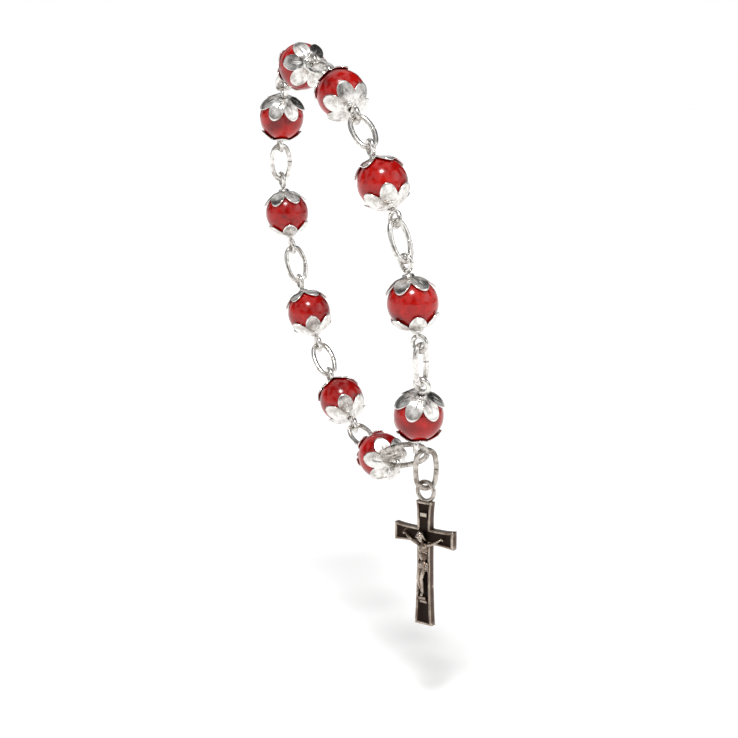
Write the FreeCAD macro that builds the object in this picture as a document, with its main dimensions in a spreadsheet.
"""A one-decade rosary bracelet, as it hangs closed round a wrist.

Ten round stone beads sit between pairs of petal caps. Each is threaded on an eye pin, and oval
links join the eyes into a loop that an openwork centrepiece closes. A crucifix hangs from the
side of the centrepiece by one more link.

Frame: millimetres, +Z up. The origin is the middle of the loop, on the wrist's axis, which lies
in the XZ plane and rises towards +X. The loop's plane is square to that axis.
Each sub-part is built about its own natural centre and then placed on the loop.
"""

import FreeCAD, Part
import math
import os
import re

import Sketcher
from FreeCAD import Placement, Rotation, Vector

BEADS = 10
SCROLLS = 3

# Every size that can be set by itself, in millimetres or degrees.
DIMENSIONS = (
    ("bead_diameter", 8.0, "round stone bead"),
    ("pin_wire", 0.8, "wire of an eye pin"),
    ("eye_bore", 1.6, "inside of a pin's eye"),
    ("pin_play", 0.05, "free length of a pin at each end"),
    ("hole_play", 0.08, "radial play of a hole on its pin"),
    ("cap_gap", 0.05, "between a bead and its cap"),
    ("cap_thickness", 0.3, "sheet of a bead cap"),
    ("collar_diameter", 2.0, "raised collar of a bead cap"),
    ("collar_rise", 0.35, "collar above the cap's sheet"),
    ("web_diameter", 4.2, "disc that carries the petals"),
    ("petal_count", 6, "petals of a bead cap"),
    ("petal_width", 2.5, "width of a round petal"),
    ("petal_circle", 4.8, "pitch circle of the petals"),
    ("link_wire", 0.9, "wire of an oval link"),
    ("link_length", 7.4, "outside length of an oval link"),
    ("link_width", 4.4, "outside width of an oval link"),
    ("link_end_radius", 1.6, "centreline radius of the crucifix link's ends"),
    ("chain_end_radius", 1.4, "centreline radius of the other links' ends"),
    ("joint_gap", 0.1, "between a link and the eye it bears on"),
    ("rim_wire", 0.9, "rim of the centrepiece"),
    ("rim_length", 13.6, "outside length of the centrepiece"),
    ("rim_width", 7.8, "outside width of the centrepiece"),
    ("rim_end_radius", 1.9, "centreline radius of the rim's ends"),
    ("scroll_wire", 0.6, "scrolls inside the rim"),
    ("scroll_reach", 3.9, "half the span of the longest scroll"),
    ("scroll_step", 1.1, "each scroll is shorter by this at each end"),
    ("scroll_top", 0.1, "middle of the longest scroll below the centre line"),
    ("scroll_spacing", 0.95, "between the middles of two scrolls"),
    ("hook_offset", 1.0, "crucifix link, from the rim's middle to the front"),
    ("ring_diameter", 4.0, "outside of the crucifix ring"),
    ("ring_wire", 0.75, "wire of the crucifix ring"),
    ("ring_gap", 0.25, "between the crucifix link and the ring"),
    ("ring_seat", 0.35, "depth of the ring in the top of the cross"),
    ("cross_length", 21.4, "height of the cross"),
    ("cross_span", 11.8, "length of the crossbar"),
    ("cross_thickness", 1.3, "front to back"),
    ("bar_drop", 5.9, "from the top to the middle of the crossbar"),
    ("limb_width", 2.6, "a limb of the cross between its flares"),
    ("flare_width", 3.1, "an upper limb at its end"),
    ("flare_length", 3.1, "length of the curve that widens an upper limb"),
    ("foot_width", 3.4, "the lower limb at its end"),
    ("foot_flare_length", 12.0, "length of the curve that widens the lower limb"),
    ("border_width", 0.45, "raised border round the face"),
    ("recess_depth", 0.3, "field inside the border"),
    ("plate_width", 1.3, "title plate above the head"),
    ("plate_length", 0.7, "title plate, top to bottom"),
    ("plate_thickness", 0.45, "title plate, front to back"),
    ("plate_drop", 1.9, "from the top of the cross to the plate"),
    ("figure_height", 10.8, "head to feet"),
    ("figure_reach", 3.9, "from the middle to a hand"),
    ("head_width", 1.2, "head of the figure"),
    ("head_shift", 0.25, "the head leans aside by this"),
    ("chest_width", 2.2, "torso of the figure"),
    ("limb_thickness", 0.6, "arm of the figure"),
    ("knee_shift", 0.35, "the knees bend aside by this"),
    ("foot_rest_width", 1.4, "bracket under the feet"),
    ("foot_rest_length", 1.2, "bracket, top to bottom"),
    ("foot_rest_depth", 0.75, "bracket, front to back"),
    ("loop_ratio", 0.78, "short axis of the loop over its long axis"),
    ("loop_lean", 31.0, "long axis of the loop from upright, top to the back"),
    ("front_angle", 11.2, "where the front half starts, past the long axis"),
    ("wrist_slope", 8.1, "rise of the wrist's axis"),
    ("crucifix_turn", 32.6, "face of the cross from square to the wrist's axis"),
    ("petal_turn", 15.0, "turn of the petals on their bead"),
    ("first_link_turn", 38.0, "turn of the first oval link about its length"),
    ("second_link_turn", 20.0, "turn of the second oval link about its length"),
    ("centrepiece_roll", 22.0, "turn of the centrepiece about its length"),
)
ALIASES = {alias for alias, value, note in DIMENSIONS}

# Lengths that follow from the sizes above.
CAP_INSIDE = "(bead_diameter / 2 + cap_gap)"
CAP_OUTSIDE = f"({CAP_INSIDE} + cap_thickness)"
COLLAR_TOP = f"({CAP_OUTSIDE} + collar_rise)"
EYE_RADIUS = "(eye_bore / 2 + pin_wire / 2)"
EYE_HEIGHT = f"({COLLAR_TOP} + pin_play + pin_wire + eye_bore / 2)"
HOLE_RADIUS = "(pin_wire / 2 + hole_play)"
LINK_OFFSET = "(eye_bore / 2 - link_wire / 2 - joint_gap)"
LINK_SPAN = f"(link_length - link_wire + 2 * {LINK_OFFSET})"
RIM_OFFSET = "(eye_bore / 2 - rim_wire / 2 - joint_gap)"
RIM_CENTRE_LENGTH = "(rim_length - rim_wire)"
RING_RADIUS = "(ring_diameter / 2 - ring_wire / 2)"
RING_DROP = "(ring_diameter / 2 - ring_wire - link_wire / 2 - ring_gap)"
FACE = "(cross_thickness / 2)"
FIELD = f"({FACE} - recess_depth)"


def make_sheet(document):
    """The driving dimensions, one to a row."""
    sheet = document.addObject("Spreadsheet::Sheet", "dimensions")
    for row, (alias, value, note) in enumerate(DIMENSIONS, 1):
        sheet.set(f"A{row}", alias)
        sheet.set(f"B{row}", str(value))
        sheet.set(f"C{row}", note)
        sheet.setAlias(f"B{row}", alias)
    document.recompute()
    return sheet


document = FreeCAD.newDocument("rosary_bracelet")
dimensions = make_sheet(document)


def size(formula):
    """The value of a formula of named sizes."""
    return float(dimensions.evalExpression(formula))


def bind(thing, target, formula):
    """Tie a property or a constraint to a formula of named sizes."""
    words = re.sub(
        r"[a-z_]{3,}",
        lambda found: f"dimensions.{found[0]}" if found[0] in ALIASES else found[0],
        formula,
    )
    thing.setExpression(target, words)


# ---------------------------------------------------------------- sketches and features


def add_body(name):
    """A sub-part. Its Label is the name of its file."""
    body = document.addObject("PartDesign::Body", name)
    body.Label = name
    return body


def add_sketch(body, plane):
    """A sketch on one of the body's own origin planes."""
    sketch = body.newObject("Sketcher::SketchObject", f"{body.Name}_sketch")
    support = next(f for f in body.Origin.OriginFeatures if f.Role == plane)
    sketch.AttachmentSupport = [(support, "")]
    sketch.MapMode = "FlatFace"
    return sketch


def fix(sketch, kind, index, point, formula):
    """Hold a point of an edge at a distance from the sketch's origin along X or Y."""
    value = size(formula)
    if abs(value) < 1e-9:
        line = -2 if kind == "DistanceX" else -1
        sketch.addConstraint(Sketcher.Constraint("PointOnObject", index, point, line))
        return
    added = sketch.addConstraint(Sketcher.Constraint(kind, -1, 1, index, point, value))
    bind(sketch, f"Constraints[{added}]", formula)


def add_circle(sketch, radius, across="0", up="0"):
    """A full circle about a centre given by two formulas."""
    centre = Vector(size(across), size(up), 0)
    index = sketch.addGeometry(Part.Circle(centre, Vector(0, 0, 1), size(radius)))
    fix(sketch, "DistanceX", index, 3, across)
    fix(sketch, "DistanceY", index, 3, up)
    added = sketch.addConstraint(Sketcher.Constraint("Radius", index, size(radius)))
    bind(sketch, f"Constraints[{added}]", radius)


def add_outline(sketch, corners):
    """A closed outline. A corner is (x, y, centre x, centre y), and the edge that leaves it is
    straight if it has no centre."""
    points = [Vector(size(corner[0]), size(corner[1]), 0) for corner in corners]
    indices = []
    for number, corner in enumerate(corners):
        start, end = points[number], points[(number + 1) % len(points)]
        if len(corner) == 2:
            edge = Part.LineSegment(start, end)
        else:
            centre = Vector(size(corner[2]), size(corner[3]), 0)
            first = math.atan2(start.y - centre.y, start.x - centre.x)
            last = math.atan2(end.y - centre.y, end.x - centre.x)
            circle = Part.Circle(centre, Vector(0, 0, 1), (start - centre).Length)
            backwards = (first - last) % math.tau < math.pi
            angles = (last, first) if backwards else (first, last)
            edge = Part.ArcOfCircle(circle, *angles)
        indices.append((sketch.addGeometry(edge), len(corner) == 4 and backwards))
    for number, corner in enumerate(corners):
        index, backwards = indices[number]
        starts, ends = (2, 1) if backwards else (1, 2)
        following, following_backwards = indices[(number + 1) % len(corners)]
        joined = 2 if following_backwards else 1
        sketch.addConstraint(Sketcher.Constraint("Coincident", index, ends, following, joined))
        fix(sketch, "DistanceX", index, starts, corner[0])
        fix(sketch, "DistanceY", index, starts, corner[1])
        if len(corner) == 4:
            # The centre already lies on the line that halves the arc's chord.
            chord = points[(number + 1) % len(corners)] - points[number]
            if abs(chord.x) > abs(chord.y):
                fix(sketch, "DistanceY", index, 3, corner[3])
            else:
                fix(sketch, "DistanceX", index, 3, corner[2])


def add_primitive(body, kind, sizes, centre=("0", "0", "0"), rotation=None):
    """A PartDesign primitive, such as AdditiveSphere, with its sizes and centre bound."""
    feature = body.newObject(f"PartDesign::{kind}", f"{body.Name}_{kind}")
    for name, formula in sizes.items():
        bind(feature, name, formula)
    if rotation:
        feature.Placement = Placement(Vector(), rotation)
    for letter, formula in zip("xyz", centre):
        bind(feature, f".Placement.Base.{letter}", formula)
    return feature


def oval_path(body, half_length, half_width, end_radius):
    """A closed oval of four tangent arcs in the body's XY plane."""
    side_radius = (
        f"((({half_length} - {end_radius})^2 + {half_width}^2 - {end_radius}^2)"
        f" / (2 * ({half_width} - {end_radius})))"
    )
    reach = f"({half_length} - {end_radius})"
    drop = f"({side_radius} - {half_width})"
    distance = f"({side_radius} - {end_radius})"
    # The arcs meet on the line through their two centres.
    along = f"({reach} + {end_radius} * {reach} / {distance})"
    aside = f"({end_radius} * {drop} / {distance})"
    sketch = add_sketch(body, "XY_Plane")
    corners = [
        (along, f"-{aside}", reach, "0"),
        (along, aside, "0", f"-{drop}"),
        (f"-{along}", aside, f"-{reach}", "0"),
        (f"-{along}", f"-{aside}", "0", drop),
    ]
    add_outline(sketch, corners)
    return sketch


def add_oval_wire(body, half_length, half_width, end_radius, wire):
    """A round wire bent into a closed oval."""
    path = oval_path(body, half_length, half_width, end_radius)
    section = add_sketch(body, "XZ_Plane")
    add_circle(section, f"({wire} / 2)", half_length)
    pipe = body.newObject("PartDesign::AdditivePipe", f"{body.Name}_wire")
    pipe.Profile = section
    pipe.Spine = path
    return pipe


# ---------------------------------------------------------------- sub-parts


def make_bead(name):
    """A round bead with its pin hole along Z."""
    body = add_body(name)
    add_primitive(body, "AdditiveSphere", {"Radius": "bead_diameter / 2"})
    hole = {"Radius": HOLE_RADIUS, "Height": "bead_diameter"}
    add_primitive(body, "SubtractiveCylinder", hole, ("0", "0", "-bead_diameter / 2"))
    return body


def make_cap(name):
    """A petal cap over the +Z end of a bead: a dished flower with a collar for the pin."""
    body = add_body(name)
    add_primitive(body, "AdditiveCylinder", {"Radius": "web_diameter / 2", "Height": COLLAR_TOP})
    petal_size = {"Radius": "petal_width / 2", "Height": COLLAR_TOP}
    petal = add_primitive(body, "AdditiveCylinder", petal_size, ("petal_circle / 2", "0", "0"))
    pattern = body.newObject("PartDesign::PolarPattern", f"{name}_petals")
    pattern.Originals = [petal]
    axis = next(f for f in body.Origin.OriginFeatures if f.Role == "Z_Axis")
    pattern.Axis = (axis, [""])
    pattern.Angle = 360
    bind(pattern, "Occurrences", "petal_count")
    body.Tip = pattern
    document.recompute()

    # Everything outside the dished sheet and its collar is turned away.
    petal_reach = "(petal_circle / 2 + petal_width / 2)"
    shoulder = f"sqrt({CAP_OUTSIDE}^2 - (collar_diameter / 2)^2)"
    outer = add_sketch(body, "XZ_Plane")
    corners = [
        ("collar_diameter / 2", f"{COLLAR_TOP} + cap_thickness"),
        ("collar_diameter / 2", shoulder, "0", "0"),
        (CAP_OUTSIDE, "0"),
        (f"{CAP_OUTSIDE} + {petal_reach}", "0"),
        (f"{CAP_OUTSIDE} + {petal_reach}", f"{COLLAR_TOP} + cap_thickness"),
    ]
    add_outline(outer, corners)
    groove = body.newObject("PartDesign::Groove", f"{name}_outside")
    groove.Profile = outer
    groove.ReferenceAxis = (axis, [""])
    groove.Angle = 360
    body.Tip = groove
    add_primitive(body, "SubtractiveSphere", {"Radius": CAP_INSIDE})
    hole = {"Radius": HOLE_RADIUS, "Height": f"{COLLAR_TOP} + cap_thickness"}
    add_primitive(body, "SubtractiveCylinder", hole)
    return body


def make_eye_pin(name, lower_turn, upper_turn):
    """A straight wire along Z with a round eye at each end. An eye lies in the XZ plane, or is
    turned from it about the wire by so many degrees."""
    body = add_body(name)
    shank = {"Radius": "pin_wire / 2", "Height": f"2 * ({EYE_HEIGHT} - {EYE_RADIUS})"}
    add_primitive(
        body, "AdditiveCylinder", shank, ("0", "0", f"-({EYE_HEIGHT} - {EYE_RADIUS})")
    )
    eye = {"Radius1": EYE_RADIUS, "Radius2": "pin_wire / 2"}
    upright = Rotation(Vector(1, 0, 0), 90)
    for height, turn in ((EYE_HEIGHT, upper_turn), (f"-{EYE_HEIGHT}", lower_turn)):
        turned = Rotation(Vector(0, 0, 1), turn) * upright
        add_primitive(body, "AdditiveTorus", eye, ("0", "0", height), turned)
    return body


def make_link(name, end_radius):
    """An oval link, its length along X and its width along Y."""
    body = add_body(name)
    half_length = "((link_length - link_wire) / 2)"
    half_width = "((link_width - link_wire) / 2)"
    add_oval_wire(body, half_length, half_width, end_radius, "link_wire")
    return body


def make_centrepiece(name):
    """An oval rim, its length along X, with nested C-scrolls in its -Y half."""
    body = add_body(name)
    half_length = "((rim_length - rim_wire) / 2)"
    half_width = "((rim_width - rim_wire) / 2)"
    add_oval_wire(body, half_length, half_width, "rim_end_radius", "rim_wire")
    side_radius = (
        f"((({half_length} - rim_end_radius)^2 + {half_width}^2 - rim_end_radius^2)"
        f" / (2 * ({half_width} - rim_end_radius)))"
    )
    for number in range(SCROLLS):
        reach = f"(scroll_reach - {number} * scroll_step)"
        crest = f"(scroll_top + {number} * scroll_spacing)"
        # A scroll runs from rim to rim, so its ends lie on the rim's side arc.
        rim = f"({half_width} - {side_radius} + sqrt({side_radius}^2 - {reach}^2))"
        rise = f"({rim} - {crest})"
        radius = f"(({reach}^2 + {rise}^2) / (2 * {rise}))"
        section = add_sketch(body, "YZ_Plane")
        add_circle(section, "scroll_wire / 2", f"-{crest}")
        axis_place = f"-({crest} + {radius})"
        place = size(axis_place)
        line = Part.LineSegment(Vector(place, -1, 0), Vector(place, 1, 0))
        index = section.addGeometry(line, True)
        section.addConstraint(Sketcher.Constraint("Vertical", index))
        fix(section, "DistanceX", index, 1, axis_place)
        scroll = body.newObject("PartDesign::Revolution", f"{name}_scroll_{number + 1}")
        scroll.Profile = section
        scroll.ReferenceAxis = (section, ["Axis0"])
        scroll.Midplane = True
        bind(scroll, "Angle", f"4 * atan({rise} / {reach})")
        body.Tip = scroll
    return body


def cross_outline(inset):
    """Corners of the cross, from the top, clockwise from the front. Each limb widens over its
    last stretch along an arc that starts parallel to the limb. The lower limb's is longer."""
    limb = f"(limb_width / 2 - {inset})"
    flare = f"(flare_width / 2 - {inset})"
    spread = "((flare_width - limb_width) / 2)"
    radius = f"((flare_length^2 + {spread}^2) / (2 * {spread}))"
    foot_spread = "((foot_width - limb_width) / 2)"
    foot_radius = f"((foot_flare_length^2 + {foot_spread}^2) / (2 * {foot_spread}))"
    top = f"(0 - {inset})"
    foot = f"(-cross_length + {inset})"
    tip = f"(cross_span / 2 - {inset})"
    stretch = f"(flare_length - {inset})"
    foot_stretch = f"(foot_flare_length - {inset})"
    right = [
        (flare, top),
        (limb, f"{top} - {stretch}"),
        (limb, f"-bar_drop + {limb}"),
        (f"{tip} - {stretch}", f"-bar_drop + {limb}"),
        (tip, f"-bar_drop + {flare}"),
        (tip, f"-bar_drop - {flare}"),
        (f"{tip} - {stretch}", f"-bar_drop - {limb}"),
        (limb, f"-bar_drop - {limb}"),
        (limb, f"{foot} + {foot_stretch}"),
        (f"(foot_width / 2 - {inset})", foot),
    ]
    turn = f"({limb} + {radius})"
    centres = {
        0: (turn, f"{top} - {stretch}"),
        3: (f"{tip} - {stretch}", f"-bar_drop + {turn}"),
        5: (f"{tip} - {stretch}", f"-bar_drop - {turn}"),
        8: (f"({limb} + {foot_radius})", f"{foot} + {foot_stretch}"),
    }
    return right, centres


def add_cross_outline(sketch, inset):
    """The whole outline: the right side going down and its mirror image going up."""
    right, centres = cross_outline(inset)
    corners = [corner + centres.get(number, ()) for number, corner in enumerate(right)]
    last = len(right) - 1
    for number in range(last, -1, -1):
        across, up = right[number]
        corner = (f"-({across})", up)
        centre = centres.get(number - 1, ())
        if centre:
            corner += (f"-({centre[0]})", centre[1])
        corners.append(corner)
    add_outline(sketch, corners)


def make_cross(name):
    """The cross, its face towards -Y, its top at the origin, and a groove for the ring."""
    body = add_body(name)
    outline = add_sketch(body, "XZ_Plane")
    add_cross_outline(outline, "0")
    slab = body.newObject("PartDesign::Pad", f"{name}_slab")
    slab.Profile = outline
    slab.Midplane = True
    bind(slab, "Length", "cross_thickness")
    document.recompute()

    field = add_sketch(body, "XZ_Plane")
    add_cross_outline(field, "border_width")
    bind(field, ".AttachmentOffset.Base.z", FACE)
    recess = body.newObject("PartDesign::Pocket", f"{name}_recess")
    recess.Profile = field
    bind(recess, "Length", "recess_depth")
    body.Tip = recess
    document.recompute()
    seat = {"Radius1": RING_RADIUS, "Radius2": "ring_wire / 2"}
    centre = ("0", "0", "ring_diameter / 2 - ring_seat")
    add_primitive(body, "SubtractiveTorus", seat, centre, Rotation(Vector(1, 0, 0), 90))
    return body


def make_crucifix_ring(name):
    """A round ring in the plane of the cross, seated in the top of it."""
    body = add_body(name)
    ring = {"Radius1": RING_RADIUS, "Radius2": "ring_wire / 2"}
    centre = ("0", "0", "ring_diameter / 2 - ring_seat")
    add_primitive(body, "AdditiveTorus", ring, centre, Rotation(Vector(1, 0, 0), 90))
    return body


def make_title_plate(name):
    """A small blank plate on the upper limb."""
    body = add_body(name)
    plate = {"Length": "plate_width", "Width": "plate_thickness", "Height": "plate_length"}
    corner = ("-plate_width / 2", f"-{FIELD} - plate_thickness", "-plate_drop - plate_length")
    add_primitive(body, "AdditiveBox", plate, corner)
    return body


def figure_heights():
    """Heights on the cross, as formulas. The head is an eighth of the figure, by the usual
    canon, and the hands are a little above the shoulders."""
    crown = "(-bar_drop + figure_height / 16)"
    return {
        "head": f"({crown} - figure_height / 16)",
        "shoulder": f"({crown} - figure_height * 0.2)",
        "waist": f"({crown} - figure_height * 0.42)",
        "hip": f"({crown} - figure_height * 0.52)",
        "knee": f"({crown} - figure_height * 0.74)",
        "foot": f"({crown} - figure_height)",
        "hand": "(-bar_drop - limb_thickness / 4)",
    }


def add_muscle(body, start, end, thickness):
    """A long ellipsoid from one point to another, each (x, y, z) of formulas. It runs past both
    so that the next one joins it."""
    first = Vector(*(size(formula) for formula in start))
    last = Vector(*(size(formula) for formula in end))
    across, deep, up = (f"(({e}) - ({s}))" for s, e in zip(start, end))
    length = f"sqrt({across}^2 + {deep}^2 + {up}^2)"
    turn = Rotation(Vector(0, 0, 1), last - first)
    middle = [f"(({s}) + ({e})) / 2" for s, e in zip(start, end)]
    radii = {
        "Radius1": f"({length} + {thickness}) / 2",
        "Radius2": f"{thickness} / 2",
        "Radius3": f"{thickness} / 2",
    }
    add_primitive(body, "AdditiveEllipsoid", radii, middle, turn)


def add_mass(body, half_height, width, depth, centre):
    """An upright ellipsoid: the head, the torso or the cloth round the hips."""
    radii = {"Radius1": half_height, "Radius2": f"{width} / 2", "Radius3": f"{depth} / 2"}
    add_primitive(body, "AdditiveEllipsoid", radii, centre)


def make_figure(name):
    """The figure in the round, cut flat where it lies on the field of the cross and stepped
    where an arm crosses the border."""
    body = add_body(name)
    high = figure_heights()
    back = f"-({FIELD} + limb_thickness * 0.35)"
    front = f"-({FIELD} + chest_width * 0.3)"
    ribs = f"(({high['shoulder']} + {high['waist']}) / 2)"
    add_mass(body, "figure_height * 0.15", "chest_width", "chest_width * 0.6", ("0", back, ribs))
    add_mass(
        body, "figure_height * 0.1", "chest_width * 0.9", "chest_width * 0.7",
        ("0", back, high["hip"]),
    )
    neck = ("0", back, f"{high['shoulder']} + limb_thickness / 3")
    head = ("-head_shift", front, high["head"])
    add_muscle(body, neck, head, "(head_width * 0.6)")
    add_mass(body, "figure_height / 14", "head_width", "head_width", head)
    for side in ("-1", "1"):
        shoulder = (f"{side} * chest_width * 0.36", back, f"{high['shoulder']}")
        elbow = (
            f"{side} * (figure_reach + chest_width * 0.36) / 2",
            back,
            f"({high['shoulder']} + {high['hand']}) / 2 - limb_thickness / 5",
        )
        hand = (f"{side} * figure_reach", back, high["hand"])
        hip = (f"{side} * chest_width * 0.22", back, high["hip"])
        knee = (f"{side} * chest_width * 0.15 - knee_shift", front, high["knee"])
        foot = (f"{side} * chest_width * 0.13", back, high["foot"])
        add_muscle(body, shoulder, elbow, "(limb_thickness * 1.15)")
        add_muscle(body, elbow, hand, "limb_thickness")
        add_muscle(body, hip, knee, "(limb_thickness * 1.5)")
        add_muscle(body, knee, foot, "(limb_thickness * 1.2)")
    slab = {
        "Length": "2 * figure_reach + 4 * limb_thickness",
        "Width": "cross_thickness",
        "Height": "cross_length",
    }
    corner = ("-figure_reach - 2 * limb_thickness", f"-{FIELD}", "-cross_length")
    add_primitive(body, "SubtractiveBox", slab, corner)
    document.recompute()
    border = add_sketch(body, "XZ_Plane")
    add_cross_outline(border, "0")
    add_cross_outline(border, "border_width")
    bind(border, ".AttachmentOffset.Base.z", FACE)
    rebate = body.newObject("PartDesign::Pocket", f"{name}_rebate")
    rebate.Profile = border
    bind(rebate, "Length", "cross_thickness")
    body.Tip = rebate
    return body


def make_foot_rest(name):
    """The bracket under the feet, tapered back to the field."""
    body = add_body(name)
    foot = figure_heights()["foot"]
    block = {
        "Length": "foot_rest_width",
        "Width": "foot_rest_depth",
        "Height": "foot_rest_length",
    }
    top = f"{foot} - limb_thickness / 2 - joint_gap"
    corner = ("-foot_rest_width / 2", f"-{FIELD} - foot_rest_depth", f"{top} - foot_rest_length")
    add_primitive(body, "AdditiveBox", block, corner)
    return body


# ---------------------------------------------------------------- the loop

SLOPE = math.radians(size("wrist_slope"))
WRIST_AXIS = Vector(math.cos(SLOPE), 0, math.sin(SLOPE))


def in_loop_plane(across, up):
    """A point or direction of the loop's plane: across is +Y, and up leans with the wrist."""
    return Vector(-up * math.sin(SLOPE), across, up * math.cos(SLOPE))


def loop_point(angle, long_half):
    """A point of the loop's ellipse. Angles run from the top of the long axis to the back."""
    lean = math.radians(size("loop_lean"))
    along = long_half * math.cos(angle)
    aside = long_half * size("loop_ratio") * math.sin(angle)
    across = along * math.sin(lean) + aside * math.cos(lean)
    up = along * math.cos(lean) - aside * math.sin(lean)
    return in_loop_plane(across, up)


def halve(low, high, is_low):
    """The place between low and high where is_low stops being true."""
    for _ in range(60):
        middle = (low + high) / 2
        low, high = (middle, high) if is_low(middle) else (low, middle)
    return (low + high) / 2


def walk(chords, long_half):
    """Angles on the ellipse after each of the chords."""
    angles = [math.pi + math.radians(size("front_angle"))]
    for chord in chords:
        here = angles[-1]
        start = loop_point(here, long_half)

        def too_near(angle):
            return (loop_point(angle, long_half) - start).Length < chord

        angles.append(halve(here, here + math.pi / 2, too_near))
    return angles


def solve_loop():
    """The pivots of the loop, two for each bead from the front end of the centrepiece round
    over the top, on an ellipse just large enough for the chain to close."""
    bead_span = 2 * size(EYE_HEIGHT)
    rim_span = size(f"{RIM_OFFSET} + {RIM_CENTRE_LENGTH}")
    chords = [bead_span, size(LINK_SPAN)] * (BEADS - 1) + [bead_span, rim_span]

    def too_small(long_half):
        angles = walk(chords, long_half)
        return angles[-1] - angles[0] > math.tau

    length = sum(chords)
    long_half = halve(length / 8, length / 4, too_small)
    return [loop_point(angle, long_half) for angle in walk(chords, long_half)[:-1]]


PIVOTS = solve_loop()


def place_on_pin(start, end, flip=False):
    """Z along a bead's pin, Y along the wrist's axis. The second cap of a bead is turned over."""
    along = (end - start).normalize()
    if flip:
        along = -along
    outward = WRIST_AXIS.cross(along)
    return Placement((start + end) * 0.5, Rotation(outward, WRIST_AXIS, along, "ZYX"))


def place_between(start, end, turn=0):
    """X from one pivot to the next, Y along the wrist's axis before any turn about X."""
    along = (end - start).normalize()
    outward = along.cross(WRIST_AXIS)
    turned = Rotation(along, WRIST_AXIS, outward, "XYZ") * Rotation(Vector(1, 0, 0), turn)
    return Placement((start + end) * 0.5, turned)


def place_beads():
    """The ten beads with their caps and pins, and the links between them. An eye turns with
    what it holds. The centrepiece runs the other way, from the first bead to the last."""
    link_turns = [size("first_link_turn"), size("second_link_turn")] + [0] * (BEADS - 3)
    roll = -size("centrepiece_roll")
    eye_turns = [roll] + link_turns + [roll]
    for number in range(BEADS):
        start, end = PIVOTS[2 * number], PIVOTS[2 * number + 1]
        label = f"{number + 1:02d}"
        turned = Placement(Vector(), Rotation(Vector(0, 0, 1), size("petal_turn")))
        make_bead(f"bead_{label}").Placement = place_on_pin(start, end)
        pin = make_eye_pin(f"eye_pin_{label}", eye_turns[number], eye_turns[number + 1])
        pin.Placement = place_on_pin(start, end)
        make_cap(f"bead_cap_{label}a").Placement = place_on_pin(start, end, True) * turned
        make_cap(f"bead_cap_{label}b").Placement = place_on_pin(start, end) * turned
        if number < BEADS - 1:
            following = PIVOTS[2 * number + 2]
            place = place_between(end, following, link_turns[number])
            make_link(f"oval_link_{label}", "chain_end_radius").Placement = place


def place_pendant():
    """The centrepiece from the first bead to the last, and what hangs from it."""
    start, end = PIVOTS[0], PIVOTS[-1]
    frame = place_between(start, end, size("centrepiece_roll"))
    # The front end bears on its eye. The back end stays in the middle of its own.
    along = (end - start).normalize()
    frame.Base = start + along * size(f"{RIM_OFFSET} + {RIM_CENTRE_LENGTH} / 2")
    make_centrepiece("centrepiece").Placement = frame

    half_length = size("(rim_length - rim_wire) / 2")
    half_width = size("(rim_width - rim_wire) / 2")
    end_radius = size("rim_end_radius")
    reach = half_length - end_radius
    side_radius = (reach**2 + half_width**2 - end_radius**2) / (2 * (half_width - end_radius))
    offset = size("hook_offset")
    aside = half_width - side_radius + math.sqrt(side_radius**2 - offset**2)
    hook = frame.multVec(Vector(-offset, aside, 0))
    rim_way = frame.Rotation.multVec(
        Vector(math.sqrt(side_radius**2 - offset**2), offset, 0)
    ).normalize()

    # The link hangs plumb across the rim, and stands higher over it the more the rim slopes.
    level_way = Vector(rim_way.x, rim_way.y, 0)
    clear = size("rim_wire / 2 + link_wire / 2 + joint_gap") / level_way.Length
    level_way.normalize()
    sideways = level_way.cross(Vector(0, 0, 1))
    link_span = size("link_length - link_wire")
    top = hook + Vector(0, 0, clear)
    turn = Rotation(Vector(0, 0, -1), sideways, Vector(0, 0, -1).cross(sideways), "XYZ")
    place = Placement(top - Vector(0, 0, link_span / 2), turn)
    make_link("crucifix_link", "link_end_radius").Placement = place

    ring_top = top - Vector(0, 0, link_span)
    ring_centre = ring_top - Vector(0, 0, size(RING_DROP))
    cross_top = ring_centre - Vector(0, 0, size("ring_diameter / 2 - ring_seat"))
    facing = Rotation(Vector(0, 0, 1), size("crucifix_turn") - 90)
    place = Placement(cross_top, facing)
    for name, make in (
        ("crucifix_cross", make_cross),
        ("crucifix_ring", make_crucifix_ring),
        ("title_plate", make_title_plate),
        ("corpus_figure", make_figure),
        ("foot_rest", make_foot_rest),
    ):
        make(name).Placement = place
    face_way = facing.multVec(Vector(0, -1, 0))
    return {"hook": hook, "rim way": rim_way, "ring pivot": ring_top, "face way": face_way}


# ---------------------------------------------------------------- build, check and write


def check_document():
    """Stop if any object failed or any sub-part is not one sound solid."""
    for thing in document.Objects:
        if "Invalid" in thing.State or "Error" in thing.State:
            raise RuntimeError(f"{thing.Label} failed to compute: {thing.State}")
    bodies = [thing for thing in document.Objects if thing.TypeId == "PartDesign::Body"]
    for body in bodies:
        if body.Shape.isNull() or not body.Shape.isValid() or len(body.Shape.Solids) != 1:
            raise RuntimeError(f"{body.Label} is not one sound solid")
    return bodies


place_beads()
PENDANT = place_pendant()
document.recompute()
SUB_PARTS = check_document()

os.makedirs("parts", exist_ok=True)
for body in SUB_PARTS:
    body.Shape.exportStep(os.path.join("parts", f"{body.Label}.step"))
print(f"{len(SUB_PARTS)} sub-parts written")
